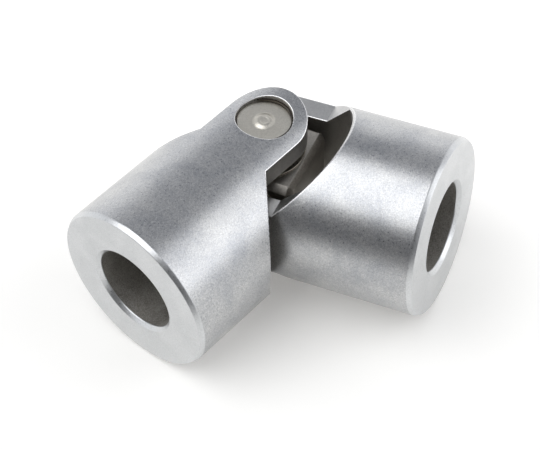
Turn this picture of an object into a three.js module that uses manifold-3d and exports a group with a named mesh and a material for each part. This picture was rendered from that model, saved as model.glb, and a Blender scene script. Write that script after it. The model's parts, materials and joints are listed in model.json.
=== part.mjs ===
// Universal joint shaft: two forked steel yokes, crossed at right angles and joined by a cross
// (spider) that turns in four needle bearings. Millimetres, +Z up. The joint lies bent on its
// side, both hubs touching the ground plane z = 0, with the hub of yoke A along -X.

import * as THREE from 'three';
import { mergeVertices } from 'three/addons/utils/BufferGeometryUtils.js';
import Module from 'manifold-3d';

// ---- driving dimensions -------------------------------------------------------------------

const HUB_RADIUS = 16; // outside of both hubs
const HALF_LENGTH = 34; // joint centre to each hub face
const BORE_RADIUS = 8; // shaft bore through each hub
const FACE_CHAMFER = { axial: 0.8, radial: 0.45 };
const BORE_CHAMFER = 0.7;

const SLOT_HALF_WIDTH = 10; // half the gap between the two ears
const EAR_HALF_WIDTH = 7.5; // also the radius of the rounded ear tip
const SHOULDER_OFFSET = 0.6; // the 45 degree shoulders start this far past the ear sides
const SWING_RADIUS = 16.15; // slot bottom, a round cut that clears the other yoke's ears

const CUP_RADIUS = 5; // needle bearing cup, pressed into the ear
const CUP_INNER_RADIUS = 4; // outer raceway of the needles
const CUP_MOUTH = 9.9; // height of the cup's open end along the pin
const CUP_FACE = 14.6; // height of its closed end, sunk below the ear's outside
const CUP_BASE = 1; // thickness of the closed end
const CUP_EDGE = 0.4; // rounded rim of the closed end, drawn as a chamfer
const BOSS = { foot: 1.9, top: 1.1, height: 0.3 }; // raised round boss at its centre
const PRESS_GAP = 0.03; // drawn gap of a press fit

const RING_HEIGHT = 14.87; // middle of the snap ring above the cup
const RING_WIRE = 0.22; // half the height of its wire
const RING_RADII = { inner: 4.72, outer: 5.22 };
const RING_GAP = THREE.MathUtils.degToRad(70); // opening of the ring
const GROOVE_RADIUS = 5.28;

const CROSS_PIN_FACE = 8; // joint centre to the block faces that carry the trunnions
const CROSS_SIDE = 8.5; // half the block's size across the two pins
const CROSS_EDGE = 1.2; // chamfer of the four edges between the pin faces
const CROSS_CORNER = 1; // chamfer of the eight edges that meet the cross sides
const TRUNNION_RADIUS = 3; // inner raceway of the needles
const TRUNNION_END = 13;
const TRUNNION_CHAMFER = 0.4;
const CENTRE_DIMPLE = { radius: 0.9, depth: 0.8 };

const SHIELD = { inner: 3.05, outer: 7.3, bottom: 8.04, top: 8.36 };
const SEAL = { inner: 3.05, outer: 5.7, bottom: 8.4, top: 9.84, waist: 5.2 };
const THRUST = { radius: 2.9, bottom: 13.05, top: 13.55 };

const NEEDLE_RADIUS = 0.46;
const NEEDLE_COUNT = 12;
const NEEDLE_PITCH_RADIUS = (TRUNNION_RADIUS + CUP_INNER_RADIUS) / 2;
const NEEDLE_ENDS = [10.15, 12.85];
const CAGE = { inner: 3.25, outer: 3.8, rim: 0.1, grip: 0.25 };

const BEND_A = THREE.MathUtils.degToRad(73); // bend about the pins of yoke A, 0 is straight
const BEND_B = THREE.MathUtils.degToRad(4); // bend about the pins of yoke B
const ROLL = Math.atan(Math.tan(BEND_B) / Math.sin(BEND_A)); // brings both hubs to the ground

const HUB_SEGMENTS = 48;
const HOLE_SEGMENTS = 24;
const RING_SEGMENTS = 19; // along the snap ring, which is not a full turn
const NEEDLE_SIDES = 6;
const HUB_START = -EAR_HALF_WIDTH - 1; // the turned blank reaches past the ear tips
const REACH = 40; // cutting tools run this far, past every face
const MERGE_TOLERANCE = 1e-4;

// ---- solids ---------------------------------------------------------------------------------

const wasm = await Module();
wasm.setup();

function toSolid(geometry) {
  const bare = geometry.index ? geometry.toNonIndexed() : geometry.clone();
  bare.deleteAttribute('normal');
  bare.deleteAttribute('uv');
  const merged = mergeVertices(bare, MERGE_TOLERANCE);
  const triVerts = new Uint32Array(merged.index.array);
  const vertProperties = new Float32Array(merged.attributes.position.array);
  return new wasm.Manifold(new wasm.Mesh({ numProp: 3, vertProperties, triVerts }));
}

function toGeometry(solid) {
  const mesh = solid.getMesh();
  const geometry = new THREE.BufferGeometry();
  geometry.setAttribute('position', new THREE.BufferAttribute(new Float32Array(mesh.vertProperties), 3));
  geometry.setIndex(new THREE.BufferAttribute(new Uint32Array(mesh.triVerts), 1));
  geometry.computeVertexNormals();
  return geometry;
}

// A turned solid about +Z from [radius, height] points that run up the outside.
function turned(points, segments = HOLE_SEGMENTS) {
  const closed = points[0][0] > 0 ? [...points, points[0]] : points;
  const profile = closed.map(([radius, height]) => new THREE.Vector2(radius, height));
  return toSolid(new THREE.LatheGeometry(profile, segments).rotateX(Math.PI / 2));
}

function disc(radius, bottom, top, segments = HOLE_SEGMENTS) {
  return turned([[0, bottom], [radius, bottom], [radius, top], [0, top]], segments);
}

function ring(inner, outer, bottom, top, segments = HOLE_SEGMENTS) {
  return turned([[inner, bottom], [outer, bottom], [outer, top], [inner, top]], segments);
}

function block(x, y, z) {
  return toSolid(new THREE.BoxGeometry(2 * x, 2 * y, 2 * z));
}

// ---- yoke: hub along +Y, ears on the pin axis Z -----------------------------------------------

function yokeSolid() {
  const hub = toSolid(new THREE.LatheGeometry([
    new THREE.Vector2(0, HUB_START),
    new THREE.Vector2(HUB_RADIUS, HUB_START),
    new THREE.Vector2(HUB_RADIUS, HALF_LENGTH - FACE_CHAMFER.axial),
    new THREE.Vector2(HUB_RADIUS - FACE_CHAMFER.radial, HALF_LENGTH),
    new THREE.Vector2(0, HALF_LENGTH),
  ], HUB_SEGMENTS));
  const bore = toSolid(new THREE.LatheGeometry([
    new THREE.Vector2(0, 0),
    new THREE.Vector2(BORE_RADIUS, 0),
    new THREE.Vector2(BORE_RADIUS, HALF_LENGTH - BORE_CHAMFER),
    new THREE.Vector2(BORE_RADIUS + 2 * BORE_CHAMFER, HALF_LENGTH + BORE_CHAMFER),
    new THREE.Vector2(0, HALF_LENGTH + BORE_CHAMFER),
  ], HUB_SEGMENTS));

  // Side view of the yoke along the pin: round ear tip, parallel sides, 45 degree shoulders.
  const shoulder = EAR_HALF_WIDTH + SHOULDER_OFFSET;
  const outline = new THREE.Shape();
  outline.absarc(0, 0, EAR_HALF_WIDTH, Math.PI, 2 * Math.PI);
  outline.lineTo(EAR_HALF_WIDTH, shoulder);
  outline.lineTo(EAR_HALF_WIDTH + REACH, shoulder + REACH);
  outline.lineTo(-EAR_HALF_WIDTH - REACH, shoulder + REACH);
  outline.lineTo(-EAR_HALF_WIDTH, shoulder);
  outline.closePath();
  const sides = new THREE.ExtrudeGeometry(outline, {
    depth: 2 * REACH,
    bevelEnabled: false,
    curveSegments: HOLE_SEGMENTS / 2,
  });

  const mouth = new THREE.BoxGeometry(2 * REACH, REACH, 2 * SLOT_HALF_WIDTH).translate(0, -REACH / 2, 0);
  const swing = new THREE.CylinderGeometry(SWING_RADIUS, SWING_RADIUS, 2 * REACH, HUB_SEGMENTS)
    .rotateZ(Math.PI / 2);
  const slot = toSolid(mouth).add(toSolid(swing).intersect(block(REACH, REACH, SLOT_HALF_WIDTH)));

  let yoke = hub.subtract(bore).intersect(toSolid(sides.translate(0, 0, -REACH))).subtract(slot);
  yoke = yoke.subtract(disc(CUP_RADIUS, -REACH, REACH));
  for (const side of [1, -1]) {
    const height = side * RING_HEIGHT;
    yoke = yoke.subtract(disc(GROOVE_RADIUS, height - RING_WIRE, height + RING_WIRE));
  }
  return yoke;
}

// ---- pieces on a pin: the pin runs from the joint centre along +Z ------------------------------

function cupSolid() {
  const radius = CUP_RADIUS - PRESS_GAP;
  return turned([
    [CUP_INNER_RADIUS, CUP_MOUTH],
    [radius, CUP_MOUTH],
    [radius, CUP_FACE - CUP_EDGE],
    [radius - CUP_EDGE, CUP_FACE],
    [BOSS.foot, CUP_FACE],
    [BOSS.top, CUP_FACE + BOSS.height],
    [0, CUP_FACE + BOSS.height],
    [0, CUP_FACE - CUP_BASE],
    [CUP_INNER_RADIUS, CUP_FACE - CUP_BASE],
  ]);
}

function snapRingSolid() {
  const band = new THREE.Shape();
  const start = RING_GAP / 2;
  const end = 2 * Math.PI - start;
  band.absarc(0, 0, RING_RADII.outer, start, end, false);
  band.absarc(0, 0, RING_RADII.inner, end, start, true);
  band.closePath();
  const height = 2 * (RING_WIRE - PRESS_GAP);
  const geometry = new THREE.ExtrudeGeometry(band, {
    depth: height,
    bevelEnabled: false,
    curveSegments: RING_SEGMENTS,
  });
  return toSolid(geometry.translate(0, 0, RING_HEIGHT - height / 2));
}

function needleSetSolid() {
  const [bottom, top] = NEEDLE_ENDS;
  let set = ring(CAGE.inner, CAGE.outer, bottom - CAGE.rim, bottom + CAGE.grip, NEEDLE_COUNT);
  set = set.add(ring(CAGE.inner, CAGE.outer, top - CAGE.grip, top + CAGE.rim, NEEDLE_COUNT));
  const needle = new THREE.CylinderGeometry(NEEDLE_RADIUS, NEEDLE_RADIUS, top - bottom, NEEDLE_SIDES);
  needle.rotateX(Math.PI / 2);
  needle.translate(NEEDLE_PITCH_RADIUS, 0, (top + bottom) / 2);
  for (let i = 0; i < NEEDLE_COUNT; i += 1) {
    set = set.add(toSolid(needle.clone().rotateZ((2 * Math.PI * i) / NEEDLE_COUNT)));
  }
  return set;
}

function sealSolid() {
  const middle = (SEAL.bottom + SEAL.top) / 2;
  return turned([
    [SEAL.inner, SEAL.bottom],
    [SEAL.outer, SEAL.bottom],
    [SEAL.waist, middle],
    [SEAL.outer, SEAL.top],
    [SEAL.inner, SEAL.top],
  ]);
}

// ---- cross: side axis X, pins of yoke B on Y, pins of yoke A on Z ------------------------------

function crossSolid() {
  let cross = block(CROSS_SIDE, CROSS_PIN_FACE, CROSS_PIN_FACE);
  const spin = (size) => block(size, size, size).rotate([45, 0, 0]);
  const pinEdges = (2 * CROSS_PIN_FACE - CROSS_EDGE) / Math.SQRT2;
  cross = cross.intersect(spin(pinEdges));
  const sideEdges = (CROSS_SIDE + CROSS_PIN_FACE - CROSS_CORNER) / Math.SQRT2;
  cross = cross.intersect(block(sideEdges, REACH, sideEdges).rotate([0, 45, 0]));
  cross = cross.intersect(block(sideEdges, sideEdges, REACH).rotate([0, 0, 45]));
  const trunnion = turned([
    [0, 0],
    [TRUNNION_RADIUS, 0],
    [TRUNNION_RADIUS, TRUNNION_END - TRUNNION_CHAMFER],
    [TRUNNION_RADIUS - TRUNNION_CHAMFER, TRUNNION_END],
    [CENTRE_DIMPLE.radius, TRUNNION_END],
    [0, TRUNNION_END - CENTRE_DIMPLE.depth],
  ]);
  for (const turn of [0, 90, 180, 270]) {
    cross = cross.add(trunnion.rotate([turn, 0, 0]));
  }
  return cross;
}

// ---- materials and assembly ------------------------------------------------------------------

const FINISHES = {
  yoke: { color: 0xb4b8bc, roughness: 0.38, metalness: 1 },
  cup: { color: 0xa3a096, roughness: 0.33, metalness: 1 },
  ring: { color: 0x6d6257, roughness: 0.4, metalness: 1 },
  cross: { color: 0x8b857c, roughness: 0.42, metalness: 1 },
  needle: { color: 0xc6c8ca, roughness: 0.2, metalness: 1 },
  shield: { color: 0x9c968c, roughness: 0.35, metalness: 1 },
  seal: { color: 0x2a2724, roughness: 0.75, metalness: 0 },
  thrust: { color: 0x9a958c, roughness: 0.4, metalness: 1 },
};

function piece(name, solid, finish) {
  const mesh = new THREE.Mesh(toGeometry(solid), new THREE.MeshStandardMaterial(FINISHES[finish]));
  mesh.name = name;
  return mesh;
}

const solids = {
  yoke: yokeSolid(),
  cup: cupSolid(),
  ring: snapRingSolid(),
  needles: needleSetSolid(),
  shield: ring(SHIELD.inner, SHIELD.outer, SHIELD.bottom, SHIELD.top),
  seal: sealSolid(),
  thrust: disc(THRUST.radius, THRUST.bottom, THRUST.top),
  cross: crossSolid(),
};

// A pair of pins along Z; yoke pieces and cross pieces turn apart, so each side gets its own group.
function pinPieces(letter, owner) {
  const group = new THREE.Group();
  ['1', '2'].forEach((number, index) => {
    const end = new THREE.Group();
    end.rotation.y = index * Math.PI;
    const suffix = `${letter}${number}`;
    if (owner === 'yoke') {
      end.add(piece(`bearing_cup_${suffix}`, solids.cup, 'cup'));
      end.add(piece(`snap_ring_${suffix}`, solids.ring, 'ring'));
    } else {
      end.add(piece(`needle_set_${suffix}`, solids.needles, 'needle'));
      end.add(piece(`thrust_disc_${suffix}`, solids.thrust, 'thrust'));
      end.add(piece(`seal_${suffix}`, solids.seal, 'seal'));
      end.add(piece(`dust_shield_${suffix}`, solids.shield, 'shield'));
    }
    group.add(end);
  });
  return group;
}

function yokeAssembly(letter) {
  const group = new THREE.Group();
  group.add(piece(`yoke_${letter}`, solids.yoke, 'yoke'), pinPieces(letter, 'yoke'));
  return group;
}

const crossAssembly = new THREE.Group();
crossAssembly.add(piece('cross', solids.cross, 'cross'));
crossAssembly.add(pinPieces('a', 'cross'));
const pinsB = pinPieces('b', 'cross');
pinsB.rotation.x = -Math.PI / 2;
crossAssembly.add(pinsB);

// Yoke B: its hub (+Y) turns to the cross's +X and its pins (+Z) to the cross's +Y.
const yokeB = yokeAssembly('b');
yokeB.matrixAutoUpdate = false;
yokeB.matrix.makeBasis(
  new THREE.Vector3(0, 0, 1),
  new THREE.Vector3(1, 0, 0),
  new THREE.Vector3(0, 1, 0),
);
const tiltB = new THREE.Group();
tiltB.rotation.y = -BEND_B;
tiltB.add(yokeB);
crossAssembly.add(tiltB);
crossAssembly.rotation.z = -BEND_A;

const yokeA = yokeAssembly('a');
yokeA.rotation.z = Math.PI / 2;

const joint = new THREE.Group();
joint.rotation.x = ROLL;
joint.add(yokeA, crossAssembly);

// Origin under the middle of the joint's own box, on the ground.
const universalJoint = new THREE.Group();
universalJoint.name = 'universal_joint';
universalJoint.add(joint);
universalJoint.updateMatrixWorld(true);
const box = new THREE.Box3().setFromObject(universalJoint, true);
const middle = box.getCenter(new THREE.Vector3());
joint.position.set(-middle.x, -middle.y, -box.min.z);
universalJoint.updateMatrixWorld(true);

export default universalJoint;
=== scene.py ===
import json
import math

import bmesh
import bpy
from mathutils import Matrix, Vector


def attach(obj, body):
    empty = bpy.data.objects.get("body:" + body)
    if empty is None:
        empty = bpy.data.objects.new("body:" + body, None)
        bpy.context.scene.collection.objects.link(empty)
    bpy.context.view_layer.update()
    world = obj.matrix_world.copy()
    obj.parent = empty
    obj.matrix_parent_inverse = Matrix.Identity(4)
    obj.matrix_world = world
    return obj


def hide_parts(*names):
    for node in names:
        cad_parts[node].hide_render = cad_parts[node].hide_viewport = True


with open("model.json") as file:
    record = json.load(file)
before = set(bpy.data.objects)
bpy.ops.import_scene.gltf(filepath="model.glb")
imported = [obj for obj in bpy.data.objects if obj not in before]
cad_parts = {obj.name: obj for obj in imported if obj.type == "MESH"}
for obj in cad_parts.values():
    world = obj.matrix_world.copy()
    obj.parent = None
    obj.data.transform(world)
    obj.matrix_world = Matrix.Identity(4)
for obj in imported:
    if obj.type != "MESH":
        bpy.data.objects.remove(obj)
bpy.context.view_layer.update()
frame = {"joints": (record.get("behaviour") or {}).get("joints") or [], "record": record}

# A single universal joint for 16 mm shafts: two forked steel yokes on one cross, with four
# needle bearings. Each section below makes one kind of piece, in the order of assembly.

# ---- Where the two forks sit -------------------------------------------------------------
# The joint lies bent on its side. Every piece is drawn in millimetres in the frame of the
# fork or pin that it belongs to, and is then set in place in metres.

hinges = {joint["name"]: joint for joint in frame["joints"]}
faces = {mount["name"]: mount for mount in frame["record"]["mounts"]}
centre = Vector(hinges["pivot_a"]["pos_m"])
pin_axis = {
    "a": Vector(hinges["pivot_a"]["axis"]),
    "b": Vector(hinges["pivot_b"]["axis"]),
}


def set_along(hub, pin):
    """The frame with +Z along the pin and +Y along the hub, in millimetres about the joint centre."""
    pin = Vector(pin).normalized()
    side = Vector(hub).cross(pin).normalized()
    hub = pin.cross(side)
    turn = Matrix((side, hub, pin)).transposed().to_4x4()
    return Matrix.Translation(centre) @ turn @ Matrix.Scale(0.001, 4)


fork_frame = {
    letter: set_along(faces[f"hub_{letter}_face"]["axis"], pin_axis[letter])
    for letter in "ab"
}
cross_frame = set_along(pin_axis["b"], pin_axis["a"])


# ---- Forked yokes --------------------------------------------------------------------------
# Each yoke is turned from 32 mm bright steel bar and bored 16 mm. It is then milled to round
# ear tips and 45 degree shoulders, slotted with a round bottom for the other yoke's ears,
# and reamed through both ears.

HUB_RADIUS = 16
HALF_LENGTH = 34
BORE_RADIUS = 8
BLANK_START = -9  # the bar is turned from here, past the ear tips, to the hub's face
HUB_CHAMFER = {"depth": 0.45, "length": 0.8}
BORE_CHAMFER = 0.7
SLOT_HALF_WIDTH = 10
SLOT_BOTTOM_RADIUS = 16.15
EAR_HALF_WIDTH = 7.5
SHOULDER_START = 8.1
EAR_HOLE_RADIUS = 5
GROOVE = {"radius": 5.28, "bottom": 14.65, "top": 15.09}
EDGE_BREAK = 0.16  # width of the broken edges left by the deburring file
FILE_CLEARANCE = 1  # the file stays this far outside the bore
CORNER = 0.5  # an edge is a corner when its faces turn by more than this, in radians
SHARP_EDGE = math.radians(15)  # edges sharper than this stay crisp
REACH = 40  # cutting tools run this far, past every face
HUB_STEPS = 96
HOLE_STEPS = 64
TURNING_STEPS = 128
EAR_STEPS = 32
SLOT_STEPS = 24
FLAT = math.radians(0.2)  # faces that turn by less than this are one face
SLIVER = 0.1  # corners closer together than this are one corner


def eased(corners, steps=4):
    """Profile points of (radius, height, easing) corners, each rounded off by its easing.

    A point on each long side, half an easing further out, keeps the flat's shading flat.
    """
    points = []
    for index, (radius, height, easing) in enumerate(corners):
        here = Vector((radius, height))
        if not easing:
            points.append(here)
            continue
        before = Vector(corners[index - 1][:2]) - here
        after = Vector(corners[(index + 1) % len(corners)][:2]) - here
        start = here + before.normalized() * easing
        end = here + after.normalized() * easing
        if before.length > 4 * easing:
            points.append(start * 1.5 - here * 0.5)
        for step in range(steps + 1):
            t = step / steps
            points.append(start * (1 - t) ** 2 + here * (2 * t * (1 - t)) + end * t * t)
        if after.length > 4 * easing:
            points.append(end * 1.5 - here * 0.5)
    return points


def turned(corners, steps=TURNING_STEPS):
    """A lathe-turned solid about +Z from the corners of its closed profile."""
    solid = bmesh.new()
    rings = []
    for radius, height in eased(corners):
        count = steps if radius > 0 else 1
        angles = [2 * math.pi * k / count for k in range(count)]
        rings.append([
            solid.verts.new((radius * math.cos(angle), radius * math.sin(angle), height))
            for angle in angles
        ])
    for lower, upper in zip(rings, rings[1:] + rings[:1]):
        for k in range(steps):
            quad = [
                lower[k % len(lower)],
                lower[(k + 1) % steps % len(lower)],
                upper[(k + 1) % steps % len(upper)],
                upper[k % len(upper)],
            ]
            quad = list(dict.fromkeys(quad))
            if len(quad) > 2:
                solid.faces.new(quad)
    bmesh.ops.recalc_face_normals(solid, faces=solid.faces)
    return solid


def milled(outline, half_depth):
    """A straight solid about the plane z = 0 from a closed outline of (x, y) points."""
    solid = bmesh.new()
    low = [solid.verts.new((x, y, -half_depth)) for x, y in outline]
    high = [solid.verts.new((x, y, half_depth)) for x, y in outline]
    solid.faces.new(low)
    solid.faces.new(high)
    for k in range(len(outline)):
        after = (k + 1) % len(outline)
        solid.faces.new((low[k], low[after], high[after], high[k]))
    bmesh.ops.recalc_face_normals(solid, faces=solid.faces)
    return solid


def as_object(solid, name="tool"):
    """A finished solid as an object in the scene."""
    mesh = bpy.data.meshes.new(name)
    solid.to_mesh(mesh)
    solid.free()
    body = bpy.data.objects.new(name, mesh)
    bpy.context.scene.collection.objects.link(body)
    return body


def machine(body, tool, operation="DIFFERENCE"):
    """Cuts the body with the tool, or joins or trims it, and puts the tool away."""
    tool = as_object(tool)
    step = body.modifiers.new("machine", "BOOLEAN")
    step.operation = operation
    step.solver = "EXACT"
    step.object = tool
    finished = body.evaluated_get(bpy.context.evaluated_depsgraph_get())
    body.data = bpy.data.meshes.new_from_object(finished)
    body.modifiers.clear()
    bpy.data.objects.remove(tool)


def arc(radius, start, end, steps):
    """Points on an arc about the origin, from one angle to another in degrees."""
    angles = [math.radians(start + (end - start) * k / steps) for k in range(steps + 1)]
    return [(radius * math.cos(a), radius * math.sin(a)) for a in angles]


DRAWN, SLOTTED_PAINTED_SHADE, PROFILED, REAMED_PAINTED_SHADE, FACED, FILED_PAINTED_GLINT = range(6)  # the finishes, by how each was cut


def clear_of_bore(edge):
    """Whether an edge lies where the file reaches it, outside the bore and its chamfer."""
    return all(
        math.hypot(vert.co.x, vert.co.z) > BORE_RADIUS + FILE_CLEARANCE
        for vert in edge.verts
    )


def break_edges(solid, width, edges, finish=0):
    """Files a small rounded flat along those of the edges that are outside corners."""
    sharp = [edge for edge in edges if edge.is_convex and edge.calc_face_angle(0) > CORNER]
    flats = bmesh.ops.bevel(
        solid, geom=sharp, offset=width, offset_type="OFFSET", segments=2, profile=0.5,
        affect="EDGES", clamp_overlap=False, loop_slide=True,
    )
    for face in flats["faces"]:
        face.material_index = finish


hub_corners = [
    (BORE_RADIUS, BLANK_START, 0),
    (HUB_RADIUS, BLANK_START, 0),
    (HUB_RADIUS, HALF_LENGTH - HUB_CHAMFER["length"], 0.18),
    (HUB_RADIUS - HUB_CHAMFER["depth"], HALF_LENGTH, 0.12),
    (BORE_RADIUS + BORE_CHAMFER, HALF_LENGTH, 0.12),
    (BORE_RADIUS, HALF_LENGTH - BORE_CHAMFER, 0.15),
]
TO_HUB = Matrix.Rotation(math.radians(-90), 4, "X")  # a turned solid's +Z to the hub's +Y
ACROSS = Matrix.Rotation(math.radians(90), 4, "Y")  # a milled solid's +Z to the side +X


def drill(radius, low, high):
    """A cutter along the pin's axis, between two heights."""
    return turned([(0, low, 0), (radius, low, 0), (radius, high, 0), (0, high, 0)], HOLE_STEPS)


def fork(name, finishes):
    """One yoke in its own frame: the turned blank, then each cut in turn."""
    blank = turned(hub_corners, HUB_STEPS)
    bmesh.ops.transform(blank, matrix=TO_HUB, verts=blank.verts)
    body = as_object(blank, name)
    for finish in finishes:
        body.data.materials.append(finish)

    shoulder = [
        (EAR_HALF_WIDTH, SHOULDER_START),
        (EAR_HALF_WIDTH + REACH, SHOULDER_START + REACH),
        (-EAR_HALF_WIDTH - REACH, SHOULDER_START + REACH),
        (-EAR_HALF_WIDTH, SHOULDER_START),
    ]
    ear_tip = arc(EAR_HALF_WIDTH, 180, 360, EAR_STEPS)
    machine(body, milled(ear_tip + shoulder, REACH), "INTERSECT")

    slot_angle = math.degrees(math.asin(SLOT_HALF_WIDTH / SLOT_BOTTOM_RADIUS))
    bottom = [(z, y) for y, z in arc(SLOT_BOTTOM_RADIUS, slot_angle, -slot_angle, SLOT_STEPS)]
    slot = milled(bottom + [(-SLOT_HALF_WIDTH, -REACH), (SLOT_HALF_WIDTH, -REACH)], REACH)
    bmesh.ops.transform(slot, matrix=ACROSS, verts=slot.verts)
    machine(body, slot)

    machine(body, drill(EAR_HOLE_RADIUS, -REACH, REACH))

    solid = bmesh.new()
    solid.from_mesh(body.data)
    bmesh.ops.dissolve_limit(solid, angle_limit=FLAT, verts=solid.verts, edges=solid.edges)
    corners = [
        vert for vert in solid.verts
        if any(edge.calc_face_angle(0) > CORNER for edge in vert.link_edges)
    ]
    bmesh.ops.remove_doubles(solid, verts=corners, dist=SLIVER)
    break_edges(solid, EDGE_BREAK, [edge for edge in solid.edges if clear_of_bore(edge)], FILED_PAINTED_GLINT)
    solid.to_mesh(body.data)
    solid.free()

    for side in (1, -1):
        low, high = sorted((side * GROOVE["bottom"], side * GROOVE["top"]))
        machine(body, drill(GROOVE["radius"], low, high))
    return body


# The round surfaces of a fork: the axis each runs about, its radius and whether it faces out.
ROUND_SURFACES = (
    (1, HUB_RADIUS, 1),
    (1, BORE_RADIUS, -1),
    (2, EAR_HALF_WIDTH, 1),
    (2, EAR_HOLE_RADIUS, -1),
    (0, SLOT_BOTTOM_RADIUS, -1),
)
ROUNDNESS = 0.02  # a corner this close to a round surface lies on it
FACING = 0.99  # and so does its face, when it looks this squarely from the axis


def true_round(body):
    """Gives each face of the round surfaces the exact normals of its cylinder."""
    mesh = body.data
    mesh.shade_smooth()
    mesh.set_sharp_from_angle(angle=SHARP_EDGE)
    normals = [corner.vector.copy() for corner in mesh.corner_normals]
    for face in mesh.polygons:
        for axis, radius, outward in ROUND_SURFACES:
            spokes = [mesh.vertices[index].co.copy() for index in face.vertices]
            for spoke in spokes:
                spoke[axis] = 0
            middle = face.center.copy()
            middle[axis] = 0
            on_surface = all(abs(spoke.length - radius) < ROUNDNESS for spoke in spokes)
            if on_surface and face.normal.dot(middle.normalized()) * outward > FACING:
                for corner, spoke in zip(face.loop_indices, spokes):
                    normals[corner] = spoke.normalized() * outward
    mesh.normals_split_custom_set(normals)


def linear(hex_code):
    """A linear colour from its sRGB hex value."""
    channels = [int(hex_code[k:k + 2], 16) / 255 for k in (1, 3, 5)]
    return [c / 12.92 if c <= 0.04045 else ((c + 0.055) / 1.055) ** 2.4 for c in channels] + [1]


def add(tree, kind, links=None, **settings):
    """Adds a node; links maps its input sockets to values or to other nodes' outputs."""
    node = tree.nodes.new(kind)
    for name, value in settings.items():
        setattr(node, name, value)
    for socket, source in (links or {}).items():
        if isinstance(source, bpy.types.NodeSocket):
            tree.links.new(source, node.inputs[socket])
        else:
            node.inputs[socket].default_value = source
    return node


GRAIN = 0.385  # width of the grain, drawn far coarser than real steel's so that it shows
CRYSTAL = 0.182  # size of the bright and dark crystals, also drawn coarse
STAIN = 6.25  # width of the clouds left by the cutting oil
PIT_SPACING = 0.8
TURNED_LAY = (1, 5, 5)  # five tool marks for each mm along a turned face's axis and radius
EVEN_LAY = (1, 1, 1)


# Free-cutting steel, cut with a tool: a metallic satin sheen with a fine grain, tool marks
# that run round a turned face and along a milled one, faint clouds of stain and dark pits.
# Grain and marks are depths in mm, and pits and speckle say how dark they go. The lay gives
# the marks in each mm along the piece's axes, or says that they run round the hub.
def machined_steel(
    name, frame_of_piece, dark, light, roughness, grain, marks, pits, lay, speckle=0.06,
):
    material = bpy.data.materials.new(name)
    material.use_nodes = True
    tree = material.node_tree
    shader = tree.nodes["Principled BSDF"]
    shader.inputs["Metallic"].default_value = 1
    place, turn, size = frame_of_piece.inverted().decompose()
    where = add(tree, "ShaderNodeTexCoord")
    here = add(tree, "ShaderNodeMapping", {
        "Vector": where.outputs["Object"], "Location": place, "Rotation": turn.to_euler(), "Scale": size,
    }).outputs[0]
    if lay == "turned":
        parts = add(tree, "ShaderNodeSeparateXYZ", {0: here})
        flat = add(tree, "ShaderNodeCombineXYZ", {0: parts.outputs[0], 1: parts.outputs[2]})
        radius = add(tree, "ShaderNodeVectorMath", {0: flat.outputs[0]}, operation="LENGTH")
        along = add(tree, "ShaderNodeCombineXYZ", {
            1: parts.outputs[1], 2: radius.outputs["Value"],
        }).outputs[0]
        stretch = TURNED_LAY
    else:
        along = here
        stretch = lay
    run = add(tree, "ShaderNodeMapping", {"Vector": along, "Scale": stretch}).outputs[0]
    lines = add(tree, "ShaderNodeTexNoise", {"Vector": run, "Scale": 1.0, "Detail": 2.0}).outputs[0]
    fine = add(tree, "ShaderNodeTexNoise", {
        "Vector": here, "Scale": 1 / GRAIN, "Detail": 3.0, "Roughness": 0.7,
    }).outputs[0]
    cloud = add(tree, "ShaderNodeTexNoise", {
        "Vector": here, "Scale": 1 / STAIN, "Detail": 3.0, "Distortion": 0.6,
    }).outputs[0]
    blend = add(tree, "ShaderNodeMath", {0: fine, 1: 0.55, 2: 0.0}, operation="MULTIPLY_ADD")
    blend = add(tree, "ShaderNodeMath", {
        0: cloud, 1: 0.45, 2: blend.outputs[0],
    }, operation="MULTIPLY_ADD")
    tone = add(tree, "ShaderNodeMapRange", {
        "Value": blend.outputs[0], "From Min": 0.35, "From Max": 0.65,
    })
    colour = add(tree, "ShaderNodeMix", {
        "Factor": tone.outputs[0], "A": linear(dark), "B": linear(light),
    }, data_type="RGBA")
    spots = add(tree, "ShaderNodeTexVoronoi", {"Vector": here, "Scale": 1 / PIT_SPACING})
    pit = add(tree, "ShaderNodeMapRange", {
        "Value": spots.outputs["Distance"], "From Min": 0.06, "From Max": 0.11,
        "To Min": 1 - pits, "To Max": 1.0,
    })
    crystals = add(tree, "ShaderNodeTexNoise", {
        "Vector": here, "Scale": 1 / CRYSTAL, "Detail": 1.0,
    }).outputs[0]
    sparkle = add(tree, "ShaderNodeMapRange", {
        "Value": crystals, "From Min": 0.25, "From Max": 0.75,
        "To Min": 1 - speckle, "To Max": 1 + speckle,
    })
    spotted = add(tree, "ShaderNodeMath", {
        0: pit.outputs[0], 1: sparkle.outputs[0],
    }, operation="MULTIPLY")
    pitted = add(tree, "ShaderNodeMix", {
        "Factor": 1.0, "A": colour.outputs["Result"], "B": spotted.outputs[0],
    }, data_type="RGBA", blend_type="MULTIPLY")
    gloss = add(tree, "ShaderNodeMapRange", {
        "Value": fine, "From Min": 0.3, "From Max": 0.7,
        "To Min": roughness - 0.05, "To Max": roughness + 0.07,
    })
    rough = add(tree, "ShaderNodeBump", {"Height": fine, "Distance": grain * 0.001})
    ridged = add(tree, "ShaderNodeBump", {
        "Height": lines, "Distance": marks * 0.001, "Normal": rough.outputs[0],
    })
    tree.links.new(pitted.outputs["Result"], shader.inputs["Base Color"])
    tree.links.new(gloss.outputs[0], shader.inputs["Roughness"])
    tree.links.new(ridged.outputs[0], shader.inputs["Normal"])
    return material


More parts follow.
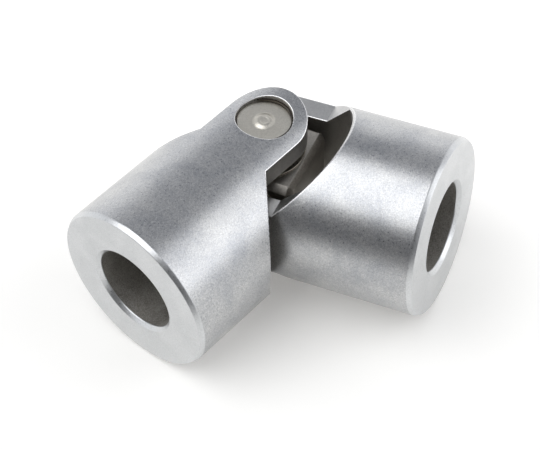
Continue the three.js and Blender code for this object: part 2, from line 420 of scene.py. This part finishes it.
# What the cutting tools leave on a fork. The depths are in mm.
FORK_FINISHES = {
    # The outside of the cold-drawn bar, left as it came: cool, satin and mottled, with pits.
    "drawn_bar": {
        "dark": "#a4a6aa", "light": "#c9c9c8", "roughness": 0.31, "grain": 0.016,
        "marks": 0.001, "pits": 0.38, "lay": "turned", "speckle": 0.22,
    },
    # Slotted with a wheel cutter: duller, with faint streaks along the slot, and drawn darker as painted
    # shade inside the slot.
    "slotted_steel_painted_shade": {
        "dark": "#94918c", "light": "#aaa7a2", "roughness": 0.48, "grain": 0.008,
        "marks": 0.004, "pits": 0.2, "lay": (0.3, 3, 3),
    },
    # Profiled with an end mill: clean and grey, with streaks along the pin.
    "profiled_steel": {
        "dark": "#b4b4b4", "light": "#c8c8c7", "roughness": 0.34, "grain": 0.008,
        "marks": 0.004, "pits": 0.2, "lay": (3, 3, 0.3),
    },
    # Bored and reamed: rough and brown-grey, and drawn dark as painted shade inside the bore and on the
    # walls of the ear holes.
    "reamed_steel_painted_shade": {
        "dark": "#8a8782", "light": "#b4b1ab", "roughness": 0.66, "grain": 0.04,
        "marks": 0.003, "pits": 0.4, "lay": "turned", "speckle": 0.25,
    },
    # Faced and chamfered in the lathe: the cleanest and brightest of the broad faces.
    "faced_steel": {
        "dark": "#c3c5c6", "light": "#d5d6d7", "roughness": 0.31, "grain": 0.005,
        "marks": 0.003, "pits": 0.2, "lay": "turned", "speckle": 0.07,
    },
    # Broken with a fine file: a thin line along each edge that glints from its rounding, and is drawn
    # lighter than the faces round it as a painted highlight.
    "filed_steel_painted_glint": {
        "dark": "#d2d2d2", "light": "#e4e4e4", "roughness": 0.26, "grain": 0.004,
        "marks": 0.001, "pits": 0.1, "lay": (2, 2, 2),
    },
}
FACED_DEPTH = 0.85  # the facing tool's finish reaches this deep, chamfers included
NEAR = 0.05  # a face this close to a surface belongs to it
ACROSS_HOLE = 0.5  # the most that the wall of a hole leans along it
IN_LINE = 0.05  # the most that a slot's face leans along the slot


def cut_by(face):
    """The finish left on a face by the tool that cut it."""
    at = face.center
    from_hub_axis = math.hypot(at.x, at.z)
    from_pin_axis = math.hypot(at.x, at.y)
    if at.y < HALF_LENGTH - FACED_DEPTH - NEAR and from_hub_axis < BORE_RADIUS + NEAR:
        return REAMED_PAINTED_SHADE
    if from_pin_axis < GROOVE["radius"] + NEAR and abs(face.normal.z) < ACROSS_HOLE:
        return REAMED_PAINTED_SHADE
    if at.y > HALF_LENGTH - FACED_DEPTH:
        return FACED
    if from_hub_axis > HUB_RADIUS - 2 * NEAR:
        return DRAWN
    if abs(at.z) < SLOT_HALF_WIDTH + NEAR and abs(face.normal.x) < IN_LINE:
        return SLOTTED_PAINTED_SHADE
    return PROFILED


for letter in "ab":
    place = fork_frame[letter]
    body = fork(f"fork_{letter}", [
        machined_steel(f"{finish}_{letter}", place, **look)
        for finish, look in FORK_FINISHES.items()
    ])
    for face in body.data.polygons:
        if face.material_index != FILED_PAINTED_GLINT:
            face.material_index = cut_by(face)
    true_round(body)
    body.data.transform(place)
    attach(body, f"yoke_{letter}")
    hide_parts(f"yoke_{letter}")


# ---- Cross ---------------------------------------------------------------------------------
# The cross is one forged and hardened steel block with four ground trunnions, two for each
# yoke. It hangs between the ears; only its bevelled block shows, brown from hardening.

CROSS_SIDE = 8.5
CROSS_PIN_FACE = 8
SIDE_BEVEL = 1.2
END_BEVEL = 1.0
CROSS_EDGE_BREAK = 0.15
TRUNNION_RADIUS = 3
TRUNNION_END = 13
CENTRE_HOLE = {"radius": 0.9, "depth": 0.8}  # left in each trunnion's end by the grinding centre

blocks = bmesh.new()
bmesh.ops.create_cube(blocks, size=2)
bmesh.ops.scale(blocks, vec=(CROSS_SIDE, CROSS_PIN_FACE, CROSS_PIN_FACE), verts=blocks.verts)
for leg, along_side in ((SIDE_BEVEL, True), (END_BEVEL, False)):
    square_edges = [
        edge for edge in blocks.edges
        if edge.calc_face_angle() > math.radians(85)
        and (abs((edge.verts[0].co - edge.verts[1].co).normalized().x) > 0.9) == along_side
    ]
    bmesh.ops.bevel(
        blocks, geom=square_edges, offset=leg, offset_type="OFFSET", segments=1, affect="EDGES",
    )
break_edges(blocks, CROSS_EDGE_BREAK, blocks.edges)
spider = as_object(blocks, "cross_block")
journal = [
    (0, 0, 0),
    (TRUNNION_RADIUS, 0, 0),
    (TRUNNION_RADIUS, TRUNNION_END, 0.35),
    (CENTRE_HOLE["radius"], TRUNNION_END, 0.1),
    (0, TRUNNION_END - CENTRE_HOLE["depth"], 0),
]
for quarter in range(4):
    pin = turned(journal)
    swing = Matrix.Rotation(math.radians(90 * quarter), 4, "X")
    bmesh.ops.transform(pin, matrix=swing, verts=pin.verts)
    machine(spider, pin, "UNION")

# Forged and case-hardened steel: a duller brown-grey, with streaks along the block.
HARDENED_STEEL = {
    "dark": "#8d8983", "light": "#b1ada6", "roughness": 0.38, "grain": 0.006,
    "marks": 0.003, "pits": 0.25, "lay": (3, 0.4, 3),
}
spider.data.materials.append(machined_steel("hardened_steel", cross_frame, **HARDENED_STEEL))
spider.data.transform(cross_frame)
spider.data.shade_smooth()
spider.data.set_sharp_from_angle(angle=SHARP_EDGE)
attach(spider, "cross")
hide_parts("cross")


# ---- Pieces turned about a pin ---------------------------------------------------------------
# Everything else on the four trunnions is round about its pin, so it is turned in the frame
# of that pin's end and set in place: on the cross for the seals, shields and thrust discs.

ENDS = [(letter, number) for letter in "ab" for number in (1, 2)]


def end_frame(letter, number, owner):
    """The frame of one end of a pin, with +Z outwards, as the fork or the cross carries it."""
    flip = Matrix.Rotation(math.pi * (number - 1), 4, "Y")
    if owner == "fork":
        return fork_frame[letter] @ flip
    swing = Matrix.Rotation(math.radians(-90 if letter == "b" else 0), 4, "X")
    return cross_frame @ swing @ flip


def set_on_pin(solid, name, place, material, body, node):
    """Sets a finished solid in its place on a pin, in its material, riding its body."""
    piece = as_object(solid, name)
    piece.data.transform(place)
    piece.data.materials.append(material)
    piece.data.shade_smooth()
    piece.data.set_sharp_from_angle(angle=SHARP_EDGE)
    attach(piece, body)
    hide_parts(node)


# ---- Dust shields ----------------------------------------------------------------------------
# A thin pressed steel washer lies on each pin face of the cross, under the ear. Its rim is
# rolled over, and catches the light as one fine line.

SHIELD_CORNERS = [
    (3.05, 8.10, 0.05),
    (6.6, 8.10, 0.3),
    (7.1, 8.04, 0.1),
    (7.3, 8.04, 0.08),
    (7.3, 8.36, 0.12),
    (6.9, 8.36, 0.2),
    (6.5, 8.28, 0.3),
    (3.05, 8.28, 0.05),
]

# Pressed steel strip: smooth and brownish, with no lay.
PRESSED_STEEL = {
    "dark": "#9d968b", "light": "#b8b2a8", "roughness": 0.3, "grain": 0.003,
    "marks": 0.001, "pits": 0.1, "lay": EVEN_LAY,
}
for letter, number in ENDS:
    place = end_frame(letter, number, "cross")
    name = f"{letter}{number}"
    pressed = machined_steel(f"pressed_steel_{name}", place, **PRESSED_STEEL)
    set_on_pin(
        turned(SHIELD_CORNERS), f"shield_{name}", place, pressed,
        "cross", f"dust_shield_{name}",
    )


# ---- Seals -----------------------------------------------------------------------------------
# A moulded nitrile ring keeps the grease in each bearing. It is squeezed between the shield
# and the cup's open end, with a waist where its two lips meet.

SEAL_CORNERS = [
    (3.05, 8.4, 0.1),
    (5.7, 8.4, 0.2),
    (5.62, 8.75, 0.2),
    (5.2, 9.12, 0.3),
    (5.62, 9.5, 0.2),
    (5.7, 9.84, 0.2),
    (3.05, 9.84, 0.1),
]
RUBBER_GRAIN = 0.4  # the mould's skin is finer, and is drawn this coarse so that it shows


# Moulded black nitrile rubber: matt and near black, with a grey bloom on a pebbled skin.
def moulded_nitrile(name, frame_of_piece):
    material = bpy.data.materials.new(name)
    material.use_nodes = True
    tree = material.node_tree
    shader = tree.nodes["Principled BSDF"]
    shader.inputs["IOR"].default_value = 1.52
    place, turn, size = frame_of_piece.inverted().decompose()
    where = add(tree, "ShaderNodeTexCoord")
    here = add(tree, "ShaderNodeMapping", {
        "Vector": where.outputs["Object"], "Location": place, "Rotation": turn.to_euler(), "Scale": size,
    }).outputs[0]
    skin = add(tree, "ShaderNodeTexNoise", {
        "Vector": here, "Scale": 1 / RUBBER_GRAIN, "Detail": 3.0,
    }).outputs[0]
    colour = add(tree, "ShaderNodeMix", {
        "Factor": skin, "A": linear("#1d1b19"), "B": linear("#3a3733"),
    }, data_type="RGBA")
    matt = add(tree, "ShaderNodeMapRange", {"Value": skin, "To Min": 0.6, "To Max": 0.85})
    pebbled = add(tree, "ShaderNodeBump", {"Height": skin, "Distance": 0.00003})
    tree.links.new(colour.outputs["Result"], shader.inputs["Base Color"])
    tree.links.new(matt.outputs[0], shader.inputs["Roughness"])
    tree.links.new(pebbled.outputs[0], shader.inputs["Normal"])
    return material


for letter, number in ENDS:
    place = end_frame(letter, number, "cross")
    name = f"{letter}{number}"
    rubber = moulded_nitrile(f"moulded_nitrile_{name}", place)
    set_on_pin(
        turned(SEAL_CORNERS), f"lip_seal_{name}", place, rubber,
        "cross", f"seal_{name}",
    )


# ---- Thrust discs ----------------------------------------------------------------------------
# A hardened steel button between each trunnion's end and the bottom of its cup takes the
# thrust along the pin. Both faces are ground, with a small oil dimple.

THRUST_CORNERS = [
    (0, 13.17, 0),
    (0.5, 13.05, 0.1),
    (2.9, 13.05, 0.1),
    (2.9, 13.55, 0.1),
    (0.5, 13.55, 0.1),
    (0, 13.43, 0),
]

# Hardened and ground steel: smooth, with a warm grey sheen.
GROUND_STEEL = {
    "dark": "#a29d94", "light": "#bdb8af", "roughness": 0.28, "grain": 0.003,
    "marks": 0.001, "pits": 0.1, "lay": EVEN_LAY,
}
for letter, number in ENDS:
    place = end_frame(letter, number, "cross")
    name = f"{letter}{number}"
    ground = machined_steel(f"ground_steel_{name}", place, **GROUND_STEEL)
    set_on_pin(
        turned(THRUST_CORNERS), f"thrust_button_{name}", place, ground,
        "cross", f"thrust_disc_{name}",
    )


# ---- Needle sets -----------------------------------------------------------------------------
# Twelve bearing-steel needles roll between each trunnion and its cup, held by two thin cage
# rings. A set moves round at 3/7 of a trunnion's swing in its cups, or 4/7 of a cup's swing
# on its trunnion.

NEEDLE_RADIUS = 0.46
NEEDLE_PITCH_RADIUS = 3.5
NEEDLE_COUNT = 12
NEEDLE_ENDS = (10.15, 12.85)
NEEDLE_SIDES = 20
CAGE = {"inner": 3.25, "outer": 3.8, "easing": 0.05, "steps": 48}
LOWER_BAND = (10.05, 10.4)
UPPER_BAND = (12.6, 12.95)


def cage_band(low, high):
    """One ring of the cage, between two heights along the pin."""
    return turned([
        (CAGE["inner"], low, CAGE["easing"]),
        (CAGE["outer"], low, CAGE["easing"]),
        (CAGE["outer"], high, CAGE["easing"]),
        (CAGE["inner"], high, CAGE["easing"]),
    ], CAGE["steps"])


needle_tree = bpy.data.node_groups.new("needles_round_a_pin", "GeometryNodeTree")
needle_tree.is_modifier = True
sockets = {}
for label, kind in (
    ("Geometry", "NodeSocketGeometry"),
    ("Needles", "NodeSocketInt"),
    ("Pitch radius", "NodeSocketFloat"),
    ("Needle radius", "NodeSocketFloat"),
    ("Needle length", "NodeSocketFloat"),
    ("Middle height", "NodeSocketFloat"),
    ("Steel", "NodeSocketMaterial"),
):
    socket = needle_tree.interface.new_socket(label, in_out="INPUT", socket_type=kind)
    sockets[label] = socket.identifier
needle_tree.interface.new_socket("Geometry", in_out="OUTPUT", socket_type="NodeSocketGeometry")
given = add(needle_tree, "NodeGroupInput").outputs
pitch_circle = add(needle_tree, "GeometryNodeMeshCircle", {
    "Vertices": given["Needles"], "Radius": given["Pitch radius"],
})
needle = add(needle_tree, "GeometryNodeMeshCylinder", {
    "Vertices": NEEDLE_SIDES, "Radius": given["Needle radius"], "Depth": given["Needle length"],
})
round_the_pin = add(needle_tree, "GeometryNodeInstanceOnPoints", {
    "Points": pitch_circle.outputs[0], "Instance": needle.outputs["Mesh"],
})
lift = add(needle_tree, "ShaderNodeCombineXYZ", {"Z": given["Middle height"]})
raised = add(needle_tree, "GeometryNodeTransform", {
    "Geometry": round_the_pin.outputs[0], "Translation": lift.outputs[0],
})
both = add(needle_tree, "GeometryNodeJoinGeometry")
needle_tree.links.new(given["Geometry"], both.inputs[0])
needle_tree.links.new(raised.outputs[0], both.inputs[0])
solid_set = add(needle_tree, "GeometryNodeRealizeInstances", {"Geometry": both.outputs[0]})
finished_set = add(needle_tree, "GeometryNodeSetMaterial", {
    "Geometry": solid_set.outputs[0], "Material": given["Steel"],
})
add(needle_tree, "NodeGroupOutput", {0: finished_set.outputs[0]})

# Hardened and lapped bearing steel: the smoothest and brightest of the joint.
BEARING_STEEL = {
    "dark": "#c4c4c2", "light": "#d8d8d6", "roughness": 0.2, "grain": 0.001,
    "marks": 0.0005, "pits": 0.05, "lay": EVEN_LAY,
}
for letter, number in ENDS:
    name = f"{letter}{number}"
    place = end_frame(letter, number, "cross")
    bearing = machined_steel(f"lapped_bearing_steel_{name}", place, **BEARING_STEEL)
    cage = cage_band(*LOWER_BAND)
    upper = bpy.data.meshes.new("upper_band")
    upper_band = cage_band(*UPPER_BAND)
    upper_band.to_mesh(upper)
    upper_band.free()
    cage.from_mesh(upper)
    needles = as_object(cage, f"needles_{name}")
    rollers = needles.modifiers.new("needles", "NODES")
    rollers.node_group = needle_tree
    for label, value in (
        ("Needles", NEEDLE_COUNT),
        ("Pitch radius", NEEDLE_PITCH_RADIUS),
        ("Needle radius", NEEDLE_RADIUS),
        ("Needle length", NEEDLE_ENDS[1] - NEEDLE_ENDS[0]),
        ("Middle height", sum(NEEDLE_ENDS) / 2),
        ("Steel", bearing),
    ):
        rollers[sockets[label]] = value
    solid_needles = needles.evaluated_get(bpy.context.evaluated_depsgraph_get())
    needles.data = bpy.data.meshes.new_from_object(solid_needles)
    needles.modifiers.clear()
    needles.data.transform(place)
    needles.data.shade_smooth()
    needles.data.set_sharp_from_angle(angle=SHARP_EDGE)
    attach(needles, f"needles_{name}")
    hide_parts(f"needle_set_{name}")


# ---- Bearing cups ----------------------------------------------------------------------------
# Each needle bearing's cup is deep drawn from case-hardening strip and pressed into its ear,
# closed end outwards, with a rounded rim and a small raised boss at its centre.

CUP_CORNERS = [
    (4, 9.9, 0.1),
    (4.97, 9.9, 0.15),
    (4.97, 14.6, 0.45),
    (1.95, 14.6, 0.25),
    (1.2, 14.92, 0.25),
    (0.9, 14.92, 0.1),
    (0.65, 14.86, 0.12),
    (0, 14.85, 0),
    (0, 13.6, 0),
    (4, 13.6, 0.2),
]

# Deep-drawn and case-hardened strip: smooth and even, pale with a faint straw colour.
DRAWN_STEEL = {
    "dark": "#cbc7bc", "light": "#dfdbd1", "roughness": 0.34, "grain": 0.004,
    "marks": 0.001, "pits": 0.2, "lay": EVEN_LAY,
}
for letter, number in ENDS:
    place = end_frame(letter, number, "fork")
    name = f"{letter}{number}"
    drawn = machined_steel(f"drawn_steel_{name}", place, **DRAWN_STEEL)
    set_on_pin(
        turned(CUP_CORNERS), f"cup_{name}", place, drawn,
        f"yoke_{letter}", f"bearing_cup_{name}",
    )


# ---- Snap rings ------------------------------------------------------------------------------
# An open ring of flat spring-steel wire, sprung into a groove in the ear above each cup, keeps
# the cup in. It is black-brown from tempering; its ends are cut square and a little rounded.

RING = {"inner": 4.72, "outer": 5.22, "low": 14.68, "high": 15.06, "easing": 0.08}
RING_GAP = 70  # the opening, in degrees
RING_STEPS = 96
RING_END = 0.8  # the wire's ends are this much of its section


def snap_ring():
    """The open ring: a rounded section carried round the pin, a little smaller at its ends."""
    middle_radius = (RING["inner"] + RING["outer"]) / 2
    middle_height = (RING["low"] + RING["high"]) / 2
    section = eased([
        (RING["inner"], RING["low"], RING["easing"]),
        (RING["outer"], RING["low"], RING["easing"]),
        (RING["outer"], RING["high"], RING["easing"]),
        (RING["inner"], RING["high"], RING["easing"]),
    ], 3)
    solid = bmesh.new()
    loops = []
    for step in range(RING_STEPS + 1):
        angle = math.radians(RING_GAP / 2 + (360 - RING_GAP) * step / RING_STEPS)
        shrink = RING_END if step in (0, RING_STEPS) else 1
        loop = []
        for radius, height in section:
            radius = middle_radius + (radius - middle_radius) * shrink
            height = middle_height + (height - middle_height) * shrink
            loop.append(solid.verts.new((radius * math.cos(angle), radius * math.sin(angle), height)))
        loops.append(loop)
    for low, high in zip(loops, loops[1:]):
        for k in range(len(section)):
            after = (k + 1) % len(section)
            solid.faces.new((low[k], low[after], high[after], high[k]))
    solid.faces.new(loops[0])
    solid.faces.new(loops[-1])
    bmesh.ops.recalc_face_normals(solid, faces=solid.faces)
    return solid


# Oil-tempered spring steel: a smooth black-brown skin that reads as a dark line.
SPRING_STEEL = {
    "dark": "#3b3733", "light": "#57514b", "roughness": 0.35, "grain": 0.003,
    "marks": 0.001, "pits": 0.1, "lay": EVEN_LAY,
}
for letter, number in ENDS:
    place = end_frame(letter, number, "fork")
    name = f"{letter}{number}"
    spring = machined_steel(f"tempered_spring_steel_{name}", place, **SPRING_STEEL)
    set_on_pin(
        snap_ring(), f"ring_{name}", place, spring,
        f"yoke_{letter}", f"snap_ring_{name}",
    )


# ---- Floor, light and camera -------------------------------------------------------------------
# A pale studio table under a soft box above and to the left, a second one to the front right, and a
# light surround that darkens at the left. The table itself glows as painted light, and turns grey far to
# the left as painted shade.

FLOOR_HALF_SIDE = 1.5
FLOOR_DROP = 0.00005  # keeps the floor just clear of the hubs that lie on it
# The table is painted grey on this side, as painted shade, so that the metal reflects a dark floor
# there.
DARK_SIDE = (-0.9, -0.43, 0)  # the table darkens this way

floor_mesh = bpy.data.meshes.new("floor")
floor_mesh.from_pydata([
    (x * FLOOR_HALF_SIDE, y * FLOOR_HALF_SIDE, -FLOOR_DROP)
    for x, y in ((-1, -1), (1, -1), (1, 1), (-1, 1))
], [], [(0, 1, 2, 3)])
floor = bpy.data.objects.new("floor", floor_mesh)
bpy.context.scene.collection.objects.link(floor)
table = bpy.data.materials.new("pale_table")
table.use_nodes = True
table_tree = table.node_tree
surface = table_tree.nodes["Principled BSDF"]
surface.inputs["Roughness"].default_value = 0.9
surface.inputs["Specular IOR Level"].default_value = 0.1
on_table = add(table_tree, "ShaderNodeTexCoord").outputs["Object"]
away = add(table_tree, "ShaderNodeVectorMath", {0: on_table, 1: DARK_SIDE}, operation="DOT_PRODUCT")
# A few centimetres towards the dark side the table fades from pale to grey and its glow goes out:
# painted shade.
painted_shade_fade = add(table_tree, "ShaderNodeMapRange", {
    "Value": away.outputs["Value"], "From Min": 0.04, "From Max": 0.12,
}, interpolation_type="SMOOTHSTEP")
# The table glows though it is no lamp: a warm painted light over the near table, strongest on the side
# away from the dark side, where the joint's shadow falls.
painted_glow = add(table_tree, "ShaderNodeMapRange", {
    "Value": away.outputs["Value"], "From Min": -0.07, "From Max": 0.01,
    "To Min": 0.36, "To Max": 0.2,
})
table_tree.links.new(painted_glow.outputs[0], surface.inputs["Emission Strength"])
for socket, near, far in (
    ("Base Color", linear("#f2f1ee"), linear("#949494")),
    ("Emission Color", (1.0, 0.985, 0.96, 1), (0, 0, 0, 1)),
):
    tint = add(table_tree, "ShaderNodeMix", {
        "Factor": painted_shade_fade.outputs[0], "A": near, "B": far,
    }, data_type="RGBA")
    table_tree.links.new(tint.outputs["Result"], surface.inputs[socket])
floor_mesh.materials.append(table)


def soft_box(name, azimuth, elevation, distance, width, height, radiance):
    """A lit panel, sized in metres; azimuth 0 is +Y and 90 is +X, seen from the joint."""
    turn, rise = math.radians(azimuth), math.radians(elevation)
    toward = Vector((
        math.sin(turn) * math.cos(rise),
        math.cos(turn) * math.cos(rise),
        math.sin(rise),
    ))
    lamp = bpy.data.lights.new(name, "AREA")
    lamp.shape = "RECTANGLE"
    lamp.size, lamp.size_y = width, height
    lamp.energy = radiance * math.pi * width * height
    lamp.color = (0.985, 0.99, 1.0)
    panel = bpy.data.objects.new(name, lamp)
    panel.location = centre + toward * distance
    panel.rotation_euler = (-toward).to_track_quat("-Z", "Y").to_euler()
    bpy.context.scene.collection.objects.link(panel)


soft_box("soft_box_above", -66, 63.5, 1.2, 1.3, 1.16, 1.9)
soft_box("soft_box_front_right", 146, 34.5, 1.3, 1.0, 1.13, 1.17)

world = bpy.data.worlds.new("studio")
bpy.context.scene.world = world
world.use_nodes = True
sky = world.node_tree
view = add(sky, "ShaderNodeTexCoord").outputs["Generated"]
height = add(sky, "ShaderNodeSeparateXYZ", {0: view}).outputs[2]
overhead = add(sky, "ShaderNodeMapRange", {
    "Value": height, "From Min": 0.17, "From Max": 0.84,
}, interpolation_type="SMOOTHSTEP")
surround = add(sky, "ShaderNodeMix", {
    "Factor": overhead.outputs[0], "A": (1.16, 1.17, 1.2, 1), "B": (0.35, 0.36, 0.385, 1),
}, data_type="RGBA")
leftward = add(sky, "ShaderNodeVectorMath", {0: view, 1: (-0.86, -0.5, 0.1)}, operation="DOT_PRODUCT")
dark_side = add(sky, "ShaderNodeMapRange", {
    "Value": leftward.outputs["Value"], "From Min": 0.5, "From Max": 0.85,
}, interpolation_type="SMOOTHSTEP")
shaded = add(sky, "ShaderNodeMix", {
    "Factor": dark_side.outputs[0], "A": surround.outputs["Result"], "B": (0.12, 0.12, 0.125, 1),
}, data_type="RGBA")
sky.links.new(shaded.outputs["Result"], sky.nodes["Background"].inputs["Color"])

CAMERA_FROM_CENTRE = Vector((-0.14657, -0.14773, 0.21534))
AIM_FROM_CENTRE = Vector((-0.0044, -0.00459, -0.0058))
CAMERA_ROLL = -5.23
FOCAL_LENGTH = 111.69  # mm, on a 36 mm sensor
lens = bpy.data.cameras.new("camera")
lens.lens = FOCAL_LENGTH
lens.sensor_width = 36
lens.clip_start = 0.01
camera = bpy.data.objects.new("camera", lens)
camera.location = centre + CAMERA_FROM_CENTRE
aim = (AIM_FROM_CENTRE - CAMERA_FROM_CENTRE).to_track_quat("-Z", "Y").to_matrix()
camera.rotation_euler = (aim @ Matrix.Rotation(math.radians(CAMERA_ROLL), 3, "Z")).to_euler()
bpy.context.scene.collection.objects.link(camera)
bpy.context.scene.camera = camera
bpy.context.scene.view_settings.view_transform = "Standard"
